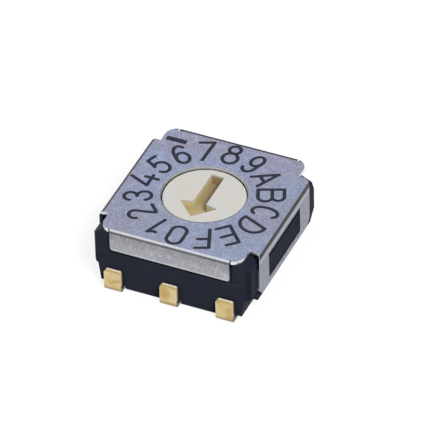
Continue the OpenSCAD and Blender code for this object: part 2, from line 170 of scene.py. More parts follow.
class SwitchStudio(bpy.types.PropertyGroup):
    """Place of the camera, and strength of the light."""
    azimuth: bpy.props.FloatProperty(
        name="Azimuth", description="How far the camera stands round to the right",
        default=math.radians(24.72), subtype="ANGLE", unit="ROTATION")
    elevation: bpy.props.FloatProperty(
        name="Elevation", description="How far the camera looks down",
        default=math.radians(39.62), subtype="ANGLE", unit="ROTATION")
    roll: bpy.props.FloatProperty(
        name="Roll", description="Turn of the camera about its own axis",
        default=math.radians(-1.5), subtype="ANGLE", unit="ROTATION")
    distance: bpy.props.FloatProperty(
        name="Distance", description="From the camera to the switch",
        default=232.66 * MM, unit="LENGTH")
    lens: bpy.props.FloatProperty(
        name="Focal length", description="Focal length of the lens",
        default=450.72, unit="CAMERA")
    aim_right: bpy.props.FloatProperty(
        name="Aim right", description="How far right of the switch's middle the camera aims",
        default=0.604 * MM, unit="LENGTH")
    aim_down: bpy.props.FloatProperty(
        name="Aim down", description="How far below the switch's middle the camera aims",
        default=0.111 * MM, unit="LENGTH")
    aim_height: bpy.props.FloatProperty(
        name="Aim height", description="Height of the point that the aim is measured from",
        default=1.75 * MM, unit="LENGTH")
    ambient: bpy.props.FloatProperty(
        name="Ambient light", description="Strength of the light from all round",
        default=0.3, subtype="FACTOR", min=0.0, max=1.0)
    key_power: bpy.props.FloatProperty(
        name="Key power", description="Power of the lamp at the front right",
        default=0.29, unit="POWER")
    fill_power: bpy.props.FloatProperty(
        name="Fill power", description="Power of the lamp at the rear left",
        default=0.044, unit="POWER")
    floor_paint: bpy.props.FloatProperty(
        name="Floor paint", description="Grey of the floor, which takes the shadow",
        default=0.2, subtype="FACTOR", min=0.0, max=1.0)
    floor_glow: bpy.props.FloatProperty(
        name="Floor glow", description="Light that makes the open floor look white",
        default=0.84, subtype="FACTOR", min=0.0, max=1.0)


# ---- Node helpers ----

def new_group(name, inputs, outputs):
    """A shader node group with the given sockets, and its input and output nodes."""
    tree = bpy.data.node_groups.new(name, "ShaderNodeTree")
    for label, kind, value in inputs:
        socket = tree.interface.new_socket(name=label, in_out="INPUT", socket_type=kind)
        if value is not None:
            socket.default_value = value
    for label, kind in outputs:
        tree.interface.new_socket(name=label, in_out="OUTPUT", socket_type=kind)
    return tree, tree.nodes.new("NodeGroupInput"), tree.nodes.new("NodeGroupOutput")


def add_node(tree, kind, links=None, **settings):
    """A node with its settings. links gives each input a socket to follow or a fixed value."""
    node = tree.nodes.new(kind)
    for key, value in settings.items():
        setattr(node, key, value)
    for socket, source in (links or {}).items():
        if isinstance(source, bpy.types.NodeSocket):
            tree.links.new(source, node.inputs[socket])
        else:
            node.inputs[socket].default_value = source
    return node


def add_math(tree, operation, first, second=0.0, clamp=False):
    """The result of one sum on two sockets or numbers."""
    node = add_node(tree, "ShaderNodeMath", {0: first, 1: second},
                    operation=operation, use_clamp=clamp)
    return node.outputs[0]


def add_mix(tree, factor, first, second, blend="MIX"):
    """A blend of two colours, which the node takes at its sockets 6 and 7."""
    node = add_node(tree, "ShaderNodeMix", {0: factor, 6: first, 7: second},
                    data_type="RGBA", blend_type=blend)
    return node.outputs[2]


def add_range(tree, value, low, high, start=0.0, end=1.0):
    """A straight run from low to high while the value goes from start to end."""
    node = add_node(tree, "ShaderNodeMapRange", {0: value, 1: start, 2: end, 3: low, 4: high})
    return node.outputs[0]


def add_ramp(tree, value, low, high):
    """A smooth step from 0 at low to 1 at high."""
    node = add_node(tree, "ShaderNodeMapRange", {0: value, 1: low, 2: high},
                    interpolation_type="SMOOTHSTEP")
    return node.outputs[0]


def add_band(tree, value, low, high, soft):
    """A mask that is 1 between low and high, with soft ends."""
    rising = add_ramp(tree, value, low - soft, low + soft)
    falling = add_ramp(tree, value, high + soft, high - soft)
    return add_math(tree, "MULTIPLY", rising, falling)


def size_of(tree, value):
    """A value with no sign."""
    return add_math(tree, "ABSOLUTE", value)


def none_of(tree, mask):
    """Where a mask is off."""
    return add_math(tree, "SUBTRACT", 1.0, mask)


def all_of(tree, *masks):
    """Where every one of the masks is on, times any plain number given."""
    result = masks[0]
    for mask in masks[1:]:
        result = add_math(tree, "MULTIPLY", result, mask)
    return result


def any_of(tree, *masks):
    """Where at least one of the masks is on."""
    result = masks[0]
    for mask in masks[1:]:
        result = add_math(tree, "MAXIMUM", result, mask)
    return result


def rgba(colour):
    """A colour with full alpha, as node sockets take it."""
    return (*colour, 1.0)


def tinted(colour, red, green=None, blue=None):
    """A colour times one factor, or times a factor for each of its parts, with full alpha."""
    factors = (red, green, blue) if blue is not None else (red, red, red)
    return rgba([part * factor for part, factor in zip(colour, factors)])


def seen_directly(tree):
    """1 for the camera's rays and those of reflections and glass, else 0."""
    path = add_node(tree, "ShaderNodeLightPath")
    seen = add_math(tree, "MAXIMUM", path.outputs["Is Camera Ray"], path.outputs["Is Glossy Ray"])
    return add_math(tree, "MAXIMUM", seen, path.outputs["Is Transmission Ray"])


# ---- Shared node groups ----

# Its mask carries the painted highlights and painted shade along edges in the finishes.
def build_edge_group():
    """Rounds sharp edges in the shading and gives a mask of them."""
    tree, given, result = new_group(
        "rounded_edges",
        [("Radius", "NodeSocketFloat", 0.00003), ("Gain", "NodeSocketFloat", 3.0)],
        [("Mask", "NodeSocketFloat"), ("Normal", "NodeSocketVector")])
    rounded = add_node(tree, "ShaderNodeBevel", {"Radius": given.outputs["Radius"]}, samples=6)
    true_normal = add_node(tree, "ShaderNodeNewGeometry")
    dot = add_node(tree, "ShaderNodeVectorMath",
                   {0: rounded.outputs[0], 1: true_normal.outputs["Normal"]},
                   operation="DOT_PRODUCT")
    bend = add_math(tree, "SUBTRACT", 1.0, dot.outputs["Value"])
    mask = add_math(tree, "MULTIPLY", bend, given.outputs["Gain"], clamp=True)
    tree.links.new(mask, result.inputs["Mask"])
    tree.links.new(rounded.outputs[0], result.inputs["Normal"])
    return tree


def build_grain_group():
    """Fine grain: a height for bump and a value for colour and roughness."""
    tree, given, result = new_group(
        "fine_grain",
        [("Scale", "NodeSocketFloat", 9000.0), ("Stretch", "NodeSocketVector", (1.0, 1.0, 1.0))],
        [("Height", "NodeSocketFloat"), ("Value", "NodeSocketFloat")])
    place = add_node(tree, "ShaderNodeTexCoord")
    stretched = add_node(tree, "ShaderNodeVectorMath",
                         {0: place.outputs["Object"], 1: given.outputs["Stretch"]},
                         operation="MULTIPLY")
    fine = add_node(tree, "ShaderNodeTexNoise",
                    {"Vector": stretched.outputs[0], "Scale": given.outputs["Scale"],
                     "Detail": 4.0})
    coarse_scale = add_math(tree, "MULTIPLY", given.outputs["Scale"], 0.23)
    coarse = add_node(tree, "ShaderNodeTexNoise",
                      {"Vector": stretched.outputs[0], "Scale": coarse_scale, "Detail": 3.0})
    tree.links.new(fine.outputs[0], result.inputs["Height"])
    tree.links.new(coarse.outputs[0], result.inputs["Value"])
    return tree


def build_mottle_group():
    """Large soft patches, as on a sheet with a thin film."""
    tree, given, result = new_group(
        "soft_patches",
        [("Scale", "NodeSocketFloat", 500.0)],
        [("Patch", "NodeSocketFloat"), ("Second Patch", "NodeSocketFloat")])
    place = add_node(tree, "ShaderNodeTexCoord").outputs["Object"]
    shifted = add_node(tree, "ShaderNodeVectorMath", {0: place, 1: (0.02, 0.05, 0.03)},
                       operation="ADD").outputs[0]
    for label, vector in (("Patch", place), ("Second Patch", shifted)):
        noise = add_node(tree, "ShaderNodeTexNoise",
                         {"Vector": vector, "Scale": given.outputs["Scale"],
                          "Detail": 2.0, "Distortion": 0.6})
        tree.links.new(add_ramp(tree, noise.outputs[0], 0.35, 0.65), result.inputs[label])
    return tree


def shared_group(name):
    """The named shared group, built when it is first needed."""
    builders = {
        "rounded_edges": build_edge_group,
        "fine_grain": build_grain_group,
        "soft_patches": build_mottle_group,
    }
    return bpy.data.node_groups.get(name) or builders[name]()


def place_group(tree, name, **values):
    """A shared group placed in a material with its own values."""
    node = tree.nodes.new("ShaderNodeGroup")
    node.node_tree = shared_group(name)
    for key, value in values.items():
        node.inputs[key].default_value = value
    return node


# ---- Parts of a material ----

def new_material(name, metallic, roughness):
    """A material with a Principled shader whose even values are set on its own sockets."""
    material = bpy.data.materials.new(name)
    material.use_nodes = True
    shader = material.node_tree.nodes["Principled BSDF"]
    shader.inputs["Metallic"].default_value = metallic
    shader.inputs["Roughness"].default_value = roughness
    return material, material.node_tree, shader


def surface_of(tree):
    """Where the shaded point lies, in metres, and which way its flat face looks."""
    place = add_node(tree, "ShaderNodeTexCoord")
    at = add_node(tree, "ShaderNodeSeparateXYZ", {0: place.outputs["Object"]})
    flat = add_node(tree, "ShaderNodeCombineXYZ", {0: at.outputs["X"], 1: at.outputs["Y"]})
    radius = add_node(tree, "ShaderNodeVectorMath", {0: flat.outputs[0]}, operation="LENGTH")
    facing = add_node(tree, "ShaderNodeSeparateXYZ", {0: place.outputs["Normal"]})
    return SimpleNamespace(
        across=at.outputs["X"], along=at.outputs["Y"], height=at.outputs["Z"],
        radius=radius.outputs["Value"],
        faces_right=facing.outputs["X"], faces_rear=facing.outputs["Y"],
        faces_up=facing.outputs["Z"])


def lean_of(tree, normal):
    """How far a rounded normal leans to the rear, on the piece's own axes."""
    turned = add_node(tree, "ShaderNodeVectorTransform", {0: normal}, vector_type="NORMAL",
                      convert_from="WORLD", convert_to="OBJECT")
    split = add_node(tree, "ShaderNodeSeparateXYZ", {0: turned.outputs[0]})
    return split.outputs["Y"]


def link_colour(tree, shader, colour):
    """Gives the shader its colour."""
    tree.links.new(colour, shader.inputs["Base Color"])


def link_roughness(tree, shader, grain, low, high):
    """Lets the roughness follow a value of the grain."""
    tree.links.new(add_range(tree, grain, low, high), shader.inputs["Roughness"])


def link_bump(tree, shader, grain, edges, strength, distance):
    """Raises the grain as a bump over the rounded edges."""
    bump = add_node(tree, "ShaderNodeBump",
                    {"Strength": strength, "Distance": distance,
                     "Height": grain.outputs["Height"], "Normal": edges.outputs["Normal"]})
    tree.links.new(bump.outputs[0], shader.inputs["Normal"])


def below_roof(depth):
    """Height of a line that lies so many millimetres below the roof."""
    return ROOF_Z - depth * MM


# ---- Finish of the cover ----

def cover_zones(tree, at):
    """Masks of the cover's zones."""
    return SimpleNamespace(
        roof=add_ramp(tree, at.faces_up, 0.35, 0.75),
        upright=add_ramp(tree, at.faces_up, 0.3, 0.1),
        front=add_ramp(tree, at.faces_rear, -0.2, -0.4),
        ears=add_ramp(tree, size_of(tree, at.across),
                      END_FLAP_HALF + 0.01 * MM, END_FLAP_HALF + 0.04 * MM))


def sheet_colour(tree, colours, at, zones, grain, patches):
    """Bluish mottled roof and neutral flaps, with painted light: the flaps that face front and back
    are painted lighter than the side flaps, less so near the roof. The sheet's fine grain lies over
    both.
    """
    violet = tinted(colours.roof, 1.08, 0.98, 1.04)
    pale = tinted(colours.roof, 1.0, 1.07, 1.18)
    roof = add_mix(tree, patches.outputs["Patch"], rgba(colours.roof), violet)
    roof = add_mix(tree, patches.outputs["Second Patch"], roof, pale)
    # Painted light: flaps that face front or back are painted lighter, and those that face sideways
    # bluer and darker.
    blue = tinted(colours.flaps, 0.86, 0.88, 0.97)
    flaps = add_mix(tree, size_of(tree, at.faces_right), tinted(colours.flaps, 1.25), blue)
    # Painted shade: near the roof, the front and rear flaps are painted less light.
    high = all_of(tree, add_ramp(tree, at.height, below_roof(0.75), below_roof(0.3)),
                  add_ramp(tree, size_of(tree, at.faces_rear), 0.6, 0.9))
    flaps = add_mix(tree, high, flaps, tinted(colours.flaps, 1.02))
    colour = add_mix(tree, zones.roof, flaps, roof)
    pits = add_ramp(tree, grain.outputs["Height"], 0.56, 0.36)
    colour = add_mix(tree, pits, colour, rgba((0.72, 0.72, 0.75)), "MULTIPLY")
    sheen = add_ramp(tree, grain.outputs["Value"], 0.48, 0.72)
    return add_mix(tree, sheen, colour, rgba((1.22, 1.22, 1.2)), "MULTIPLY")


def painted_shade_lines(tree, at, zones, edges, lean):
    """Mask of painted shade on the bends, the far edges and the flap ends, which turn away from the
    light.
    """
    far_rim = all_of(tree, edges.outputs["Mask"], add_ramp(tree, lean, 0.05, 0.2), zones.roof, 0.6)
    left_bend = all_of(tree, add_ramp(tree, at.faces_right, -0.2, -0.5),
                       add_ramp(tree, at.faces_up, 0.1, 0.3))
    rear_y = COVER_HIGH[1]
    rear_bend = all_of(tree, add_ramp(tree, at.along, rear_y - 0.15 * MM, rear_y - 0.08 * MM),
                       add_ramp(tree, at.faces_up, 0.1, 0.4), 0.92)
    right_bend = all_of(tree, add_ramp(tree, at.faces_right, 0.6, 0.8),
                        add_band(tree, at.height, below_roof(0.44), below_roof(0.2), 0.035 * MM))
    side_x = COVER_HIGH[0]
    flap_ends = all_of(tree, add_ramp(tree, size_of(tree, at.faces_rear), 0.6, 0.8),
                       add_ramp(tree, size_of(tree, at.across),
                                side_x - 0.32 * MM, side_x - 0.28 * MM))
    under_bend = all_of(tree, zones.front, none_of(tree, zones.ears), 0.6,
                        add_band(tree, at.height, below_roof(0.18), below_roof(0.07), 0.03 * MM))
    return any_of(tree, far_rim, left_bend, rear_bend, right_bend, flap_ends, under_bend)


def painted_highlight_lines(tree, at, zones, edges, lean):
    """Mask of painted highlights on the cut edges, the bends and the rim and wall of the hole,
    partly the bare steel of the cut faces.
    """
    lip = add_ramp(tree, at.height, below_roof(0.08), below_roof(0.05))
    near_rim = all_of(tree, edges.outputs["Mask"], add_ramp(tree, lean, 0.02, -0.12),
                      any_of(tree, zones.ears, lip))
    front_y = COVER_LOW[1]
    front_edge = all_of(tree, zones.roof, 0.7,
                        add_ramp(tree, at.along, front_y + 0.12 * MM, front_y + 0.06 * MM))
    ear_edge = all_of(tree, zones.ears,
                      add_ramp(tree, at.height, below_roof(0.16), below_roof(0.14)))
    sheet_edge = all_of(tree, zones.upright, any_of(tree, ear_edge, all_of(tree, lip, 0.75)))
    lower_rim = all_of(tree, zones.front, 0.3,
                       add_ramp(tree, at.height,
                                END_FLAP_LOW + 0.13 * MM, END_FLAP_LOW + 0.06 * MM))
    flank_bend = all_of(tree, add_ramp(tree, at.faces_right, 0.8, 0.95), 0.3,
                        add_band(tree, at.height, below_roof(0.67), below_roof(0.52), 0.03 * MM))
    hole_rim = all_of(tree, zones.roof, add_ramp(tree, at.along, -1.4 * MM, 0.6 * MM), 0.2,
                      add_ramp(tree, at.radius, HOLE_RADIUS + 0.13 * MM, HOLE_RADIUS + 0.04 * MM))
    hole_wall = all_of(tree, zones.upright,
                       add_ramp(tree, at.radius, HOLE_RADIUS + 0.08 * MM, HOLE_RADIUS + 0.04 * MM))
    return any_of(tree, near_rim, front_edge, sheet_edge, lower_rim, flank_bend, hole_rim,
                  hole_wall)


def cover_steel(colours):
    """Satin stainless sheet with a mottled roof and neutral flaps, the end flaps painted lighter,
    with painted shade on the bends and far edges and painted highlights on the cut edges, bends and
    hole rim.
    """
    material, tree, shader = new_material("cover_steel", metallic=0.9, roughness=0.42)
    edges = place_group(tree, "rounded_edges", Radius=0.045 * MM, Gain=4.0)
    grain = place_group(tree, "fine_grain", Scale=13000.0)
    patches = place_group(tree, "soft_patches", Scale=420.0)
    at = surface_of(tree)
    zones = cover_zones(tree, at)
    lean = lean_of(tree, edges.outputs["Normal"])
    colour = sheet_colour(tree, colours, at, zones, grain, patches)
    # Painted shade on the bends, far edges and flap ends.
    dark = painted_shade_lines(tree, at, zones, edges, lean)
    colour = add_mix(tree, dark, colour, rgba(colours.shaded_edge))
    # Painted highlights on the cut edges, bends and hole rim.
    bright = painted_highlight_lines(tree, at, zones, edges, lean)
    colour = add_mix(tree, bright, colour, rgba(colours.cut_edge_highlight))
    # Painted shade: a dark ring on the roof where the gap round the rotor lies in shade.
    hole_gap_shade = all_of(tree, zones.roof, 0.6,
                       add_band(tree, at.radius, HOLE_RADIUS - 0.02 * MM, HOLE_RADIUS + 0.045 * MM,
                                0.015 * MM))
    colour = add_mix(tree, hole_gap_shade, colour, rgba(colours.hole_gap_shade))
    link_colour(tree, shader, colour)
    link_roughness(tree, shader, grain.outputs["Value"], low=0.36, high=0.5)
    link_bump(tree, shader, grain, edges, strength=0.2, distance=0.004 * MM)
    return material


# ---- Other finishes ----

def housing_resin(colours):
    """Black moulded resin with a fine matt grain, paler along its edges in a painted highlight, and
    with painted shade on its flanks and most of all on the catch in the side window.
    """
    material, tree, shader = new_material("housing_resin", metallic=0.0, roughness=0.5)
    edges = place_group(tree, "rounded_edges", Radius=0.05 * MM, Gain=1.6)
    grain = place_group(tree, "fine_grain", Scale=9000.0)
    at = surface_of(tree)
    colour = add_mix(tree, grain.outputs["Value"], rgba(colours.housing),
                     tinted(colours.housing, 1.5))
    # Painted highlight along the edges, broken up by the grain.
    edge_highlight = all_of(tree, edges.outputs["Mask"], grain.outputs["Height"])
    colour = add_mix(tree, edge_highlight, colour, tinted(colours.housing, 2.2))
    # Painted shade: faces that look sideways, and most of all the catch seen through the window,
    # are painted darker.
    flank = add_ramp(tree, size_of(tree, at.faces_right), 0.2, 0.9)
    catch = all_of(tree, flank, add_ramp(tree, size_of(tree, at.along),
                                         WINDOW_HALF + 0.02 * MM, WINDOW_HALF))
    shaded = any_of(tree, catch, all_of(tree, flank, 0.7))
    colour = add_mix(tree, shaded, colour, tinted(colours.housing, 0.3, 0.34, 0.46))
    link_colour(tree, shader, colour)
    link_roughness(tree, shader, grain.outputs["Value"], low=0.42, high=0.6)
    link_bump(tree, shader, grain, edges, strength=0.35, distance=0.01 * MM)
    shader.inputs["Specular IOR Level"].default_value = 0.03
    return material


def recess_colour(tree, colours, at):
    """Painted shade of the driver recess: yellow walls painted paler near the top and deeper
    downwards, a darker floor with a painted shadow along the shaft's right side and towards the
    shaft's end, and a shaded end wall to the shaft.
    """
    # Painted shade: the walls are painted paler near the top and darker with depth.
    sunk = add_ramp(tree, at.height, ROTOR_TOP, ROTOR_TOP - RECESS_SHADE)
    walls = add_mix(tree, sunk, tinted(colours.recess, 1.3, 1.46, 1.6), rgba(colours.recess))
    # Painted shade on the end wall of the shaft, which faces the front.
    shaft_end_shade = all_of(tree, add_ramp(tree, at.along, SHAFT_END - 0.18 * MM, SHAFT_END),
                       add_ramp(tree, at.faces_rear, -0.5, -0.8), 0.75)
    walls = add_mix(tree, shaft_end_shade, walls, rgba(colours.shaft_end_shade))
    # Painted shadow on the floor, cast from the shaft's right-hand wall, strongest towards the
    # shaft's end.
    shadowed_floor = all_of(tree, add_ramp(tree, at.along, -0.55 * MM, 0.35 * MM),
                    add_range(tree, at.across, 0.4, 1.0, start=-0.2 * MM, end=0.22 * MM))
    # Painted shade: the floor is painted darker than the walls.
    floor = add_mix(tree, shadowed_floor, tinted(colours.recess, 0.86, 0.86, 0.98), rgba(colours.floor_shadow))
    return add_mix(tree, add_ramp(tree, at.faces_up, 0.5, 0.9), walls, floor)


def rotor_resin(colours):
    """Cream resin, with painted shade inside the driver recess, which is painted a deeper yellow.
    """
    material, tree, shader = new_material("rotor_resin", metallic=0.0, roughness=0.45)
    edges = place_group(tree, "rounded_edges", Radius=0.03 * MM, Gain=1.0)
    grain = place_group(tree, "fine_grain", Scale=6000.0)
    patches = place_group(tree, "soft_patches", Scale=700.0)
    at = surface_of(tree)
    warm = tinted(colours.rotor, 1.03, 0.98, 0.93)
    cool = tinted(colours.rotor, 0.97, 1.01, 1.04)
    face = add_mix(tree, patches.outputs["Patch"], rgba(colours.rotor), warm)
    face = add_mix(tree, all_of(tree, patches.outputs["Second Patch"], 0.8), face, cool)
    # Painted shade: below the face the resin takes the painted colours of the recess.
    deep = add_ramp(tree, at.height, ROTOR_TOP - 0.03 * MM, ROTOR_TOP - 0.15 * MM)
    link_colour(tree, shader, add_mix(tree, deep, face, recess_colour(tree, colours, at)))
    link_bump(tree, shader, grain, edges, strength=0.2, distance=0.006 * MM)
    shader.inputs["Subsurface Weight"].default_value = 0.15
    shader.inputs["Subsurface Radius"].default_value = (1.0, 0.7, 0.35)
    shader.inputs["Subsurface Scale"].default_value = 0.15 * MM
    return material


def lead_zones(tree, at):
    """Masks of a lead's zones: its low part and soldered foot, painted in shade; its sides, painted
    in shade back from the front; its sheared faces, which take a painted highlight; and the bend at
    its shoulder, where that highlight gives way to plain gold.
    """
    to_end = size_of(tree, at.along)
    sideways = add_ramp(tree, size_of(tree, at.faces_right), 0.6, 0.9)
    upward = add_ramp(tree, at.faces_up, 0.5, 0.8)
    endways = add_ramp(tree, size_of(tree, at.faces_rear), 0.4, 0.7)
    low = add_ramp(tree, at.height, 0.32 * MM, 0.08 * MM)
    foot = all_of(tree, add_ramp(tree, at.height, 0.42 * MM, 0.3 * MM), none_of(tree, endways))
    flank = all_of(tree, sideways,
                   add_ramp(tree, to_end, LEAD_FRONT - 0.07 * MM, LEAD_FRONT - 0.12 * MM))
    nose = all_of(tree, upward,
                  add_ramp(tree, to_end, LEAD_FRONT - 0.11 * MM, LEAD_FRONT - 0.06 * MM))
    brow = all_of(tree, endways, 0.8,
                  add_ramp(tree, at.height, LEAD_TOP - 0.09 * MM, LEAD_TOP - 0.03 * MM))
    sheared = all_of(tree, any_of(tree, sideways, upward), none_of(tree, low), none_of(tree, foot))
    return SimpleNamespace(low=low, foot=foot, flank=flank, brow=any_of(tree, nose, brow),
                           sheared=sheared)


def gold_plate(colours, name, roughness):
    """Gold plating over copper alloy, with a painted highlight on the sheared faces and edges,
    partly the bare sheared metal, and painted shade low down, on the sides, at the shoulder and on
    the foot.
    """
    material, tree, shader = new_material(name, metallic=1.0, roughness=roughness)
    edges = place_group(tree, "rounded_edges", Radius=0.05 * MM, Gain=2.5)
    grain = place_group(tree, "fine_grain", Scale=5000.0)
    patches = place_group(tree, "soft_patches", Scale=1600.0)
    at = surface_of(tree)
    zones = lead_zones(tree, at)
    gold = rgba(colours.gold)
    pale = rgba([0.05 * own + 0.95 * worn
                 for own, worn in zip(colours.gold, colours.pale_gold)])
    deep = tinted(colours.gold, 0.86, 0.80, 0.66)
    copper = tinted(colours.gold, 0.5, 0.45, 0.8)
    colour = add_mix(tree, add_ramp(tree, grain.outputs["Value"], 0.35, 0.65), deep, gold)
    colour = add_mix(tree, all_of(tree, patches.outputs["Patch"], 0.35), colour, pale)
    # Painted shade: the low part of the lead is painted a darker copper brown.
    colour = add_mix(tree, all_of(tree, zones.low, 0.9), colour, copper)
    # Painted highlight on the sheared faces and the edges, partly the bare sheared metal.
    edge_highlight = all_of(tree, edges.outputs["Mask"], none_of(tree, zones.low))
    colour = add_mix(tree, any_of(tree, zones.sheared, edge_highlight), colour, pale)
    # Painted shade on the sides of the lead, back from the front face.
    colour = add_mix(tree, zones.flank, colour, tinted(deep, 0.7))
    # Painted shade of the rounded shoulder: the highlight there is taken back to plain gold.
    colour = add_mix(tree, zones.brow, colour, gold)
    # Painted shade on the foot, under the body.
    colour = add_mix(tree, zones.foot, colour, tinted(copper, 0.6))
    link_colour(tree, shader, colour)
    tree.links.new(add_range(tree, zones.sheared, 1.0, 0.05), shader.inputs["Metallic"])
    link_roughness(tree, shader, grain.outputs["Value"], low=roughness - 0.06, high=roughness + 0.1)
    link_bump(tree, shader, grain, edges, strength=0.2, distance=0.004 * MM)
    return material


def spring_steel(colours):
    """Bright rolled spring steel, its grain drawn out along the strip."""
    material, tree, shader = new_material("spring_steel", metallic=1.0, roughness=0.3)
    edges = place_group(tree, "rounded_edges", Radius=0.015 * MM, Gain=1.5)
    grain = place_group(tree, "fine_grain", Scale=9000.0, Stretch=(1.0, 0.08, 1.0))
    colour = add_mix(tree, grain.outputs["Value"], tinted(colours.spring, 0.8),
                     rgba(colours.spring))
    link_colour(tree, shader, colour)
    link_bump(tree, shader, grain, edges, strength=0.15, distance=0.002 * MM)
    return material


def seal_rubber(colours):
    """Black rubber with a faint bloom."""
    material, tree, shader = new_material("seal_rubber", metallic=0.0, roughness=0.6)
    edges = place_group(tree, "rounded_edges", Radius=0.02 * MM, Gain=1.0)
    grain = place_group(tree, "fine_grain", Scale=5000.0)
    bloom = rgba([part * 1.25 + 0.015 for part in colours.seal])
    link_colour(tree, shader, add_mix(tree, grain.outputs["Value"], rgba(colours.seal), bloom))
    link_bump(tree, shader, grain, edges, strength=0.2, distance=0.004 * MM)
    return material


def mark_ink(colours):
    """Dark marks burnt into the steel, a little uneven."""
    material, tree, shader = new_material("dial_marks", metallic=0.0, roughness=0.55)
    grain = place_group(tree, "fine_grain", Scale=8000.0)
    burnt = add_ramp(tree, grain.outputs["Value"], 0.4, 0.8)
    brown = tinted(colours.ink, 1.5, 1.25, 1.1)
    link_colour(tree, shader, add_mix(tree, burnt, rgba(colours.ink), brown))
    link_roughness(tree, shader, grain.outputs["Height"], low=0.45, high=0.7)
    shader.inputs["Specular IOR Level"].default_value = 0.05
    return material


def finish_nodes(material, *names):
    """Gives the named CAD nodes one finish."""
    for name in names:
        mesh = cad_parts[name].data
        mesh.materials.clear()
        mesh.materials.append(material)


# ---- Dial characters ----

def arc(cx, cy, rx, ry, start, end, steps=16):
    """Points along part of an ellipse, angles in degrees."""
    turn = [math.radians(start + (end - start) * i / steps) for i in range(steps + 1)]
    return [(cx + rx * math.cos(t), cy + ry * math.sin(t)) for t in turn]


def character_strokes():
    """Every character as strokes in a box one wide and one high."""
    return {
        "0": [arc(0.48, 0.82, 0.58, 0.28, 0, 180) + arc(0.48, 0.3, 0.58, 0.28, 180, 360)
              + [(1.06, 0.82)]],
        "1": [[(-0.12, 0.82), (0.06, 0.83), (0.4, 1.02), (0.4, 0.02)]],
        "2": [arc(0.34, 0.83, 0.45, 0.24, 175, -25)
              + [(-0.06, 0.04), (-0.04, -0.03), (0.9, -0.03)]],
        "3": [arc(0.34, 0.765, 0.46, 0.265, 170, -90), arc(0.38, 0.21, 0.49, 0.29, 90, -170)],
        "4": [[(0.5, 1.0), (-0.14, 0.19), (1.12, 0.19)], [(0.79, 0.46), (0.79, -0.1)]],
        "5": [[(1.0, 0.98), (0.26, 0.98), (0.13, 0.49)], arc(0.5, 0.27, 0.54, 0.34, 135, -152, 20)],
        "6": [arc(0.62, 0.6, 0.53, 0.49, 45, 180) + arc(0.58, 0.315, 0.49, 0.335, 180, 540, 28)],
        "7": [[(0.05, 1.12), (1.16, 1.12), (0.24, 0.0)]],
        "8": [arc(0.545, 0.865, 0.45, 0.235, -90, 270, 26),
              arc(0.55, 0.305, 0.59, 0.325, 90, 450, 28)],
        "9": [arc(0.54, 0.765, 0.445, 0.325, 0, 360, 26),
              [(0.985, 0.75)] + arc(0.53, 0.28, 0.45, 0.31, 0, -150)],
        "A": [[(-0.09, -0.04), (0.49, 1.04), (1.11, -0.04)], [(0.1, 0.3), (0.92, 0.3)]],
        "B": [[(0.8, 0.53), (-0.05, 0.53)],
              [(-0.05, -0.04), (-0.05, 1.02), (0.85, 1.02)] + arc(0.85, 0.775, 0.41, 0.245, 90, -90)
              + arc(0.85, 0.245, 0.48, 0.285, 90, -90) + [(-0.05, -0.04)]],
        "C": [arc(0.72, 0.5, 0.56, 0.54, 48, 312, 26)],
        "D": [[(0.1, -0.02), (0.12, 1.09)] + arc(0.38, 0.535, 0.87, 0.555, 90, -90, 20)
              + [(0.1, -0.02)]],
        "E": [[(1.12, 1.11), (0.14, 1.12), (0.06, 0.03), (1.16, 0.03)],
              [(0.1, 0.58), (1.15, 0.58)]],
        "F": [[(1.07, 1.14), (0.03, 1.14), (-0.01, 0.02)], [(0.02, 0.6), (0.88, 0.6)]],
    }


def split_at_corners(stroke):
    """The stroke as runs with no sharp corner inside, where a ribbon would narrow."""
    runs = [[stroke[0]]]
    for before, here, after in zip(stroke, stroke[1:], stroke[2:]):
        runs[-1].append(here)
        arriving, leaving = Vector(here) - Vector(before), Vector(after) - Vector(here)
        if arriving.length and leaving.length and arriving.angle(leaving) > SHARP_TURN:
            runs.append([here])
    runs[-1].append(stroke[-1])
    return runs


def round_ended(run, radius):
    """Centre points and widths of a run with a half round added at each end."""
    points = [(Vector(point), 1.0) for point in run]
    for end, inner in ((0, 1), (-1, -2)):
        outward = (Vector(run[end]) - Vector(run[inner])).normalized()
        for turn in HALF_ROUND:
            centre = Vector(run[end]) + outward * radius * math.sin(turn)
            width = max(math.cos(turn), TIP_WIDTH)
            points.insert(0 if end == 0 else len(points), (centre, width))
    return points


def deselect_all():
    """Leaves nothing selected, so that the next operator acts on its own piece only."""
    bpy.ops.object.select_all(action="DESELECT")


def draw_character(name, strokes, sizes):
    """A character lying at the origin, its strokes as flat ribbons with a domed top."""
    deselect_all()
    bpy.ops.curve.primitive_bezier_curve_add(radius=1.0, location=(0, 0, 0))
    piece = bpy.context.object
    piece.name = name
    curve = piece.data
    curve.name = name
    curve.splines.clear()
    for stroke in strokes:
        sized = [((x - 0.5) * sizes.width, (y - 0.5) * sizes.height) for x, y in stroke]
        for run in split_at_corners(sized):
            points = round_ended(run, sizes.stroke / 2)
            spline = curve.splines.new("POLY")
            spline.points.add(len(points) - 1)
            for point, (centre, width) in zip(spline.points, points):
                point.co = (*centre, 0.0, 1.0)
                point.radius = width
    curve.bevel_depth = sizes.stroke / 2
    curve.bevel_resolution = 2
    curve.use_fill_caps = True
    bpy.ops.object.convert(target="MESH")
    return bpy.context.object


def lay_on_roof(piece, angle, distance, flatten):
    """Flattens a piece, turns its top outwards and lays it on the roof, all in its mesh."""
    direction = Vector((math.cos(angle), math.sin(angle), 0.0))
    bpy.ops.transform.resize(value=(1.0, 1.0, flatten), orient_type="GLOBAL",
                             center_override=(0, 0, 0))
    piece.rotation_euler = (0.0, 0.0, angle - math.pi / 2)
    piece.location = direction * distance + Vector((0.0, 0.0, ROOF_Z))
    bpy.ops.object.transform_apply(location=True, rotation=True, scale=True)


# ---- Operators ----

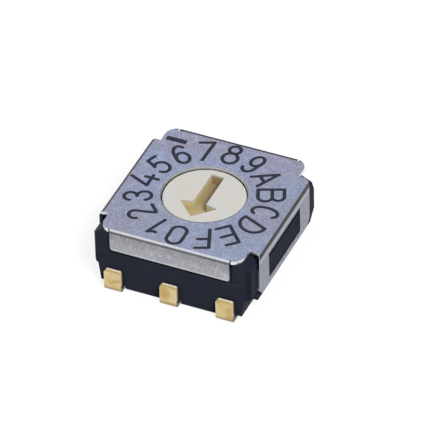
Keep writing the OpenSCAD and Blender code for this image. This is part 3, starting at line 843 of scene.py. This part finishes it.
class SWITCH_OT_stage(bpy.types.Operator):
    """Floor, soft light, white surroundings and the camera"""
    bl_idname = "switch.stage"
    bl_label = "Studio"

    def execute(self, context):
        studio = context.scene.switch_studio
        self.make_camera(context, studio)
        self.make_world(context, studio)
        self.make_floor(studio)
        self.make_lamp("key_lamp", KEY_PLACE, KEY_SIZE, studio.key_power)
        self.make_lamp("fill_lamp", FILL_PLACE, FILL_SIZE, studio.fill_power)
        context.scene.view_settings.view_transform = "Standard"
        return {"FINISHED"}

    def make_camera(self, context, studio):
        """Camera on a long lens, turned about the switch by the studio's three angles."""
        turn, rise, roll = studio.azimuth, studio.elevation, studio.roll
        back = Vector((math.sin(turn) * math.cos(rise), -math.cos(turn) * math.cos(rise),
                       math.sin(rise)))
        level = Vector((0, 0, 1)).cross(back).normalized()
        steep = back.cross(level)
        right = math.cos(roll) * level + math.sin(roll) * steep
        up = math.cos(roll) * steep - math.sin(roll) * level
        middle = Vector((0, 0, studio.aim_height))
        place = (middle + right * studio.aim_right - up * studio.aim_down
                 + back * studio.distance)
        bpy.ops.object.camera_add()
        camera = context.object
        camera.name = "camera"
        camera.data.lens = studio.lens
        camera.data.sensor_width = 36.0
        camera.data.clip_start = 0.01
        axes = Matrix((right, up, back)).transposed()
        camera.matrix_world = Matrix.Translation(place) @ axes.to_4x4()
        context.scene.camera = camera

    def make_world(self, context, studio):
        """Even light all round, and pure white wherever the camera or a reflection looks."""
        world = bpy.data.worlds.new("studio_world")
        context.scene.world = world
        world.use_nodes = True
        tree = world.node_tree
        tree.nodes.clear()
        strength = add_range(tree, seen_directly(tree), studio.ambient, 1.0)
        light = add_node(tree, "ShaderNodeBackground", {"Color": WHITE, "Strength": strength})
        result = add_node(tree, "ShaderNodeOutputWorld")
        tree.links.new(light.outputs[0], result.inputs[0])

    def make_floor(self, studio):
        """Pale floor that looks white in the open and keeps the soft shadow."""
        bpy.ops.mesh.primitive_plane_add(size=FLOOR_SIZE, location=(0, 0, 0))
        floor = bpy.context.object
        floor.name = "floor"
        material = bpy.data.materials.new("floor_paint")
        material.use_nodes = True
        tree = material.node_tree
        tree.nodes.clear()
        paint = add_node(tree, "ShaderNodeBsdfDiffuse",
                         {"Color": tinted(WHITE, studio.floor_paint)})
        strength = add_math(tree, "MULTIPLY", seen_directly(tree), studio.floor_glow)
        glow = add_node(tree, "ShaderNodeEmission", {"Color": WHITE, "Strength": strength})
        both = add_node(tree, "ShaderNodeAddShader", {0: paint.outputs[0], 1: glow.outputs[0]})
        result = add_node(tree, "ShaderNodeOutputMaterial")
        tree.links.new(both.outputs[0], result.inputs[0])
        floor.data.materials.append(material)

    def make_lamp(self, name, place, size, power):
        """A square soft lamp that faces the switch."""
        bpy.ops.object.light_add(type="AREA", location=place)
        lamp = bpy.context.object
        lamp.name = name
        lamp.data.size = size
        lamp.data.energy = power
        lamp.rotation_euler = Vector(place).to_track_quat("Z", "Y").to_euler()
        lamp.visible_glossy = False


class SWITCH_OT_cover(bpy.types.Operator):
    """Finish of the folded steel cover"""
    bl_idname = "switch.cover"
    bl_label = "Cover"

    def execute(self, context):
        finish_nodes(cover_steel(context.scene.switch_colours), "cover")
        return {"FINISHED"}


class SWITCH_OT_housing(bpy.types.Operator):
    """Finish of the moulded housing"""
    bl_idname = "switch.housing"
    bl_label = "Housing"

    def execute(self, context):
        finish_nodes(housing_resin(context.scene.switch_colours), "housing")
        return {"FINISHED"}


class SWITCH_OT_rotor(bpy.types.Operator):
    """Finish of the rotor and its seal"""
    bl_idname = "switch.rotor"
    bl_label = "Rotor"

    def execute(self, context):
        finish_nodes(rotor_resin(context.scene.switch_colours), "rotor")
        finish_nodes(seal_rubber(context.scene.switch_colours), "o_ring")
        return {"FINISHED"}


class SWITCH_OT_metal_parts(bpy.types.Operator):
    """Finishes of the leads, contacts, code plate and click springs"""
    bl_idname = "switch.metal_parts"
    bl_label = "Metal parts"

    def execute(self, context):
        colours = context.scene.switch_colours
        leads = [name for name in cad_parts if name.startswith("terminal")]
        contacts = [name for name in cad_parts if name.startswith("contact")]
        springs = [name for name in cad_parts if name.startswith("click_spring")]
        finish_nodes(gold_plate(colours, "lead_gold", roughness=0.38), *leads)
        finish_nodes(gold_plate(colours, "contact_gold", roughness=0.25), "code_plate", *contacts)
        finish_nodes(spring_steel(colours), *springs)
        return {"FINISHED"}


class SWITCH_OT_dial_characters(bpy.types.Operator):
    """The sixteen characters round the rotor, clockwise from the front"""
    bl_idname = "switch.dial_characters"
    bl_label = "Dial characters"

    def execute(self, context):
        sizes = context.scene.switch_dial
        ink = mark_ink(context.scene.switch_colours)
        shapes = character_strokes()
        step = 2 * math.pi / len(shapes)
        flatten = sizes.film / (sizes.stroke / 2)
        for position, (character, strokes) in enumerate(shapes.items()):
            piece = draw_character(f"dial_character_{character}", strokes, sizes)
            lay_on_roof(piece, -math.pi / 2 - position * step, sizes.radius, flatten)
            piece.data.materials.append(ink)
            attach(piece, BODY)
        return {"FINISHED"}


class SWITCH_OT_index_bar(bpy.types.Operator):
    """The index bar in the rear left corner of the roof"""
    bl_idname = "switch.index_bar"
    bl_label = "Index bar"

    def execute(self, context):
        sizes = context.scene.switch_dial
        deselect_all()
        place = (sizes.bar_across, sizes.bar_along, ROOF_Z)
        bpy.ops.mesh.primitive_cube_add(size=1.0, location=place)
        bar = context.object
        bar.name = "index_bar"
        bar.scale = (sizes.bar_length, sizes.bar_width, 2 * sizes.film)
        bpy.ops.object.transform_apply(location=True, rotation=True, scale=True)
        corners = bar.modifiers.new("round_corners", "BEVEL")
        corners.width = BAR_ROUNDING * sizes.film
        corners.segments = 2
        bpy.ops.object.modifier_apply(modifier=corners.name)
        bar.data.materials.append(bpy.data.materials["dial_marks"])
        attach(bar, BODY)
        return {"FINISHED"}


class SWITCH_PT_panel(bpy.types.Panel):
    """Lists the switch's pieces in the sidebar"""
    bl_idname = "SWITCH_PT_panel"
    bl_label = "Rotary coded switch"
    bl_space_type = "VIEW_3D"
    bl_region_type = "UI"
    bl_category = "Switch"

    def draw(self, context):
        for operator in OPERATORS:
            self.layout.operator(operator.bl_idname)
        for name, group in GROUPS.items():
            box = self.layout.box()
            for key in group.__annotations__:
                box.prop(getattr(context.scene, name), key)


OPERATORS = (
    SWITCH_OT_stage,
    SWITCH_OT_cover,
    SWITCH_OT_housing,
    SWITCH_OT_rotor,
    SWITCH_OT_metal_parts,
    SWITCH_OT_dial_characters,
    SWITCH_OT_index_bar,
)
GROUPS = {
    "switch_dial": SwitchDialSizes,
    "switch_colours": SwitchColours,
    "switch_studio": SwitchStudio,
}


def register():
    for name, group in GROUPS.items():
        bpy.utils.register_class(group)
        setattr(bpy.types.Scene, name, bpy.props.PointerProperty(type=group))
    for cls in (*OPERATORS, SWITCH_PT_panel):
        bpy.utils.register_class(cls)


def unregister():
    for cls in reversed((*OPERATORS, SWITCH_PT_panel)):
        bpy.utils.unregister_class(cls)
    for name, group in GROUPS.items():
        delattr(bpy.types.Scene, name)
        bpy.utils.unregister_class(group)


def main():
    """Registers the add-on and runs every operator."""
    register()
    for operator in OPERATORS:
        group, action = operator.bl_idname.split(".")
        getattr(getattr(bpy.ops, group), action)()


if __name__ == "__main__":
    main()
